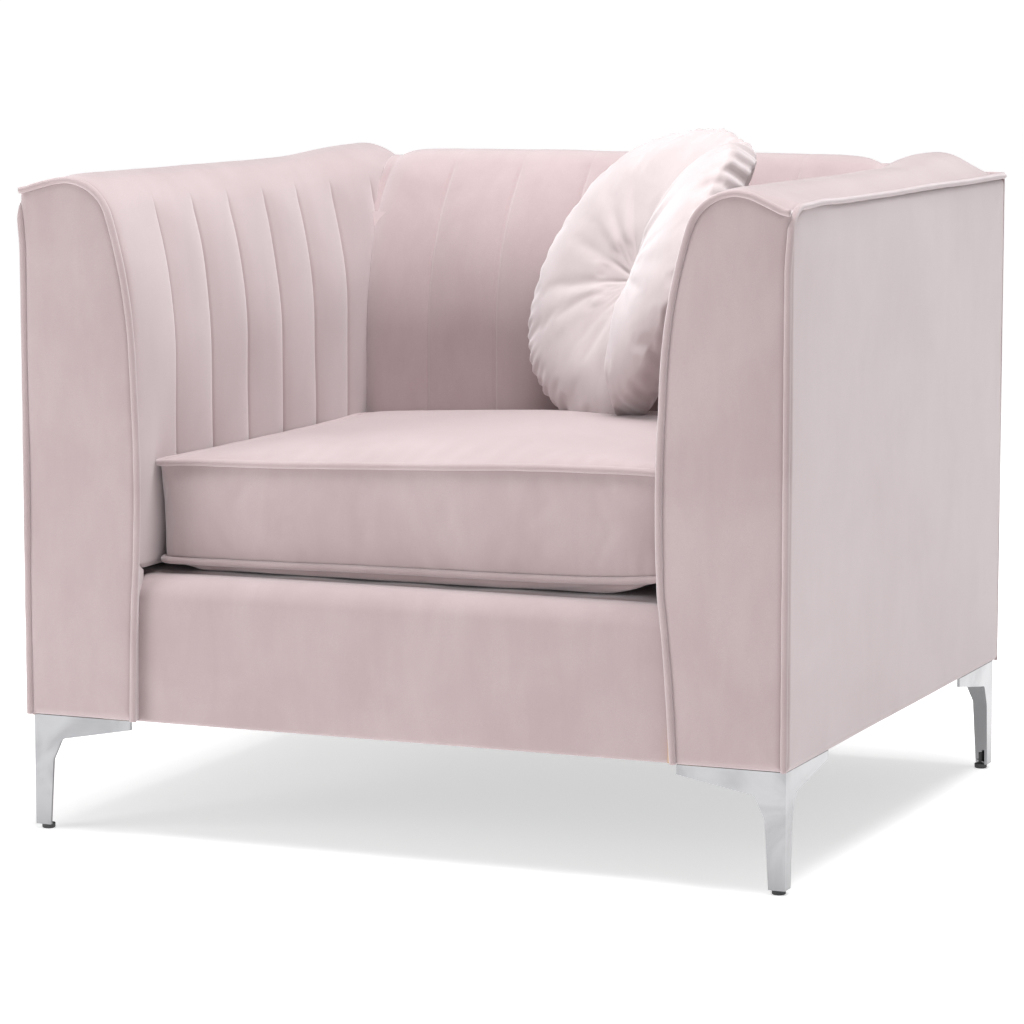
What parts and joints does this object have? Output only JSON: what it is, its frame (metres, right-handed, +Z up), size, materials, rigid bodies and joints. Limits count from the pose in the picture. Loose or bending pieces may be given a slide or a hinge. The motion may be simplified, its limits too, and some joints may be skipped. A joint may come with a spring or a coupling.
{
  "type": "upholstered armchair",
  "caption": "Low square armchair with round-topped padded arms, loose piped seat cushion, round tufted pillow and angled metal corner feet.",
  "frame": {"origin": "on the floor, at the middle of the chair's footprint", "axes": "+Z up, -Y to the front of the chair, +X to the right of someone facing its front"},
  "size_m": [0.964, 0.85, 0.8366],
  "materials": {
    "velvet": "short-pile velvet, blush pink",
    "pillow_velvet": "short-pile velvet, pale blush pink",
    "foam": "upholstery foam and polyester filling",
    "hardwood": "planed, unfinished",
    "fibreboard": "pressed fibreboard",
    "spring_steel": "oiled spring wire",
    "screw_steel": "zinc plated",
    "webbing": "elastic webbing",
    "lining": "thin black lining cloth",
    "chrome": "polished",
    "glide_plastic": "moulded",
    "zip_plastic": "moulded, dyed to match",
    "twine": "waxed twine"
  },
  "bodies": {
    "chair": {"arm_base_rail_left": "hardwood", "arm_base_rail_right": "hardwood", "arm_front_board_left": "hardwood", "arm_front_board_right": "hardwood", "arm_front_panel_left": "velvet", "arm_front_panel_right": "velvet", "arm_front_welt_left": "velvet", "arm_front_welt_right": "velvet", "arm_liners": "fibreboard", "arm_mid_posts": "hardwood", "arm_pad_left": "foam", "arm_pad_right": "foam", "arm_top_rail_left": "hardwood", "arm_top_rail_right": "hardwood", "arm_top_welt_left": "velvet", "arm_top_welt_right": "velvet", "back_base_rail": "hardwood", "back_pad": "foam", "back_post_left": "hardwood", "back_post_right": "hardwood", "back_tack_rail": "hardwood", "back_top_rail": "hardwood", "back_top_welt": "velvet", "back_webbing": "webbing", "corner_blocks": "hardwood", "deck_cover": "velvet", "dust_cover": "lining", "foot_front_left": "chrome", "foot_front_right": "chrome", "foot_rear_left": "chrome", "foot_rear_right": "chrome", "foot_screws": "screw_steel", "front_rail_cover": "velvet", "front_rail_pad": "foam", "glides": "glide_plastic", "inside_arm_cover_left": "velvet", "inside_arm_cover_right": "velvet", "inside_back_cover": "velvet", "outside_arm_panel_left": "velvet", "outside_arm_panel_right": "velvet", "outside_back_panel": "velvet", "seat_front_rail": "hardwood", "seat_rear_rail": "hardwood", "seat_side_rail_left": "hardwood", "seat_side_rail_right": "hardwood", "seat_springs": "spring_steel", "seat_stretcher": "hardwood", "spring_clips": "screw_steel"},
    "seat_cushion": {"cushion_bottom_welt": "velvet", "cushion_top_welt": "velvet", "cushion_zip_tape": "zip_plastic", "seat_cushion_core": "foam", "seat_cushion_cover": "velvet"},
    "zip_slider": {"zip_slider": "zip_plastic"},
    "pillow": {"pillow_cover": "pillow_velvet", "pillow_filling": "foam", "pillow_front_button": "pillow_velvet", "pillow_rear_button": "pillow_velvet", "pillow_twine": "twine"}
  },
  "joints": [
    {"name": "seat_cushion_lift", "type": "slide", "parent": "chair", "child": "seat_cushion", "axis": [0, 0, 1], "range_m": [0, 0.36]},
    {"name": "pillow_lift", "type": "slide", "parent": "seat_cushion", "child": "pillow", "axis": [0, 0, 1], "range_m": [0, 0.4]},
    {"name": "zip_slide", "type": "slide", "parent": "seat_cushion", "child": "zip_slider", "axis": [1, 0, 0], "range_m": [0, 0.545]}
  ]
}
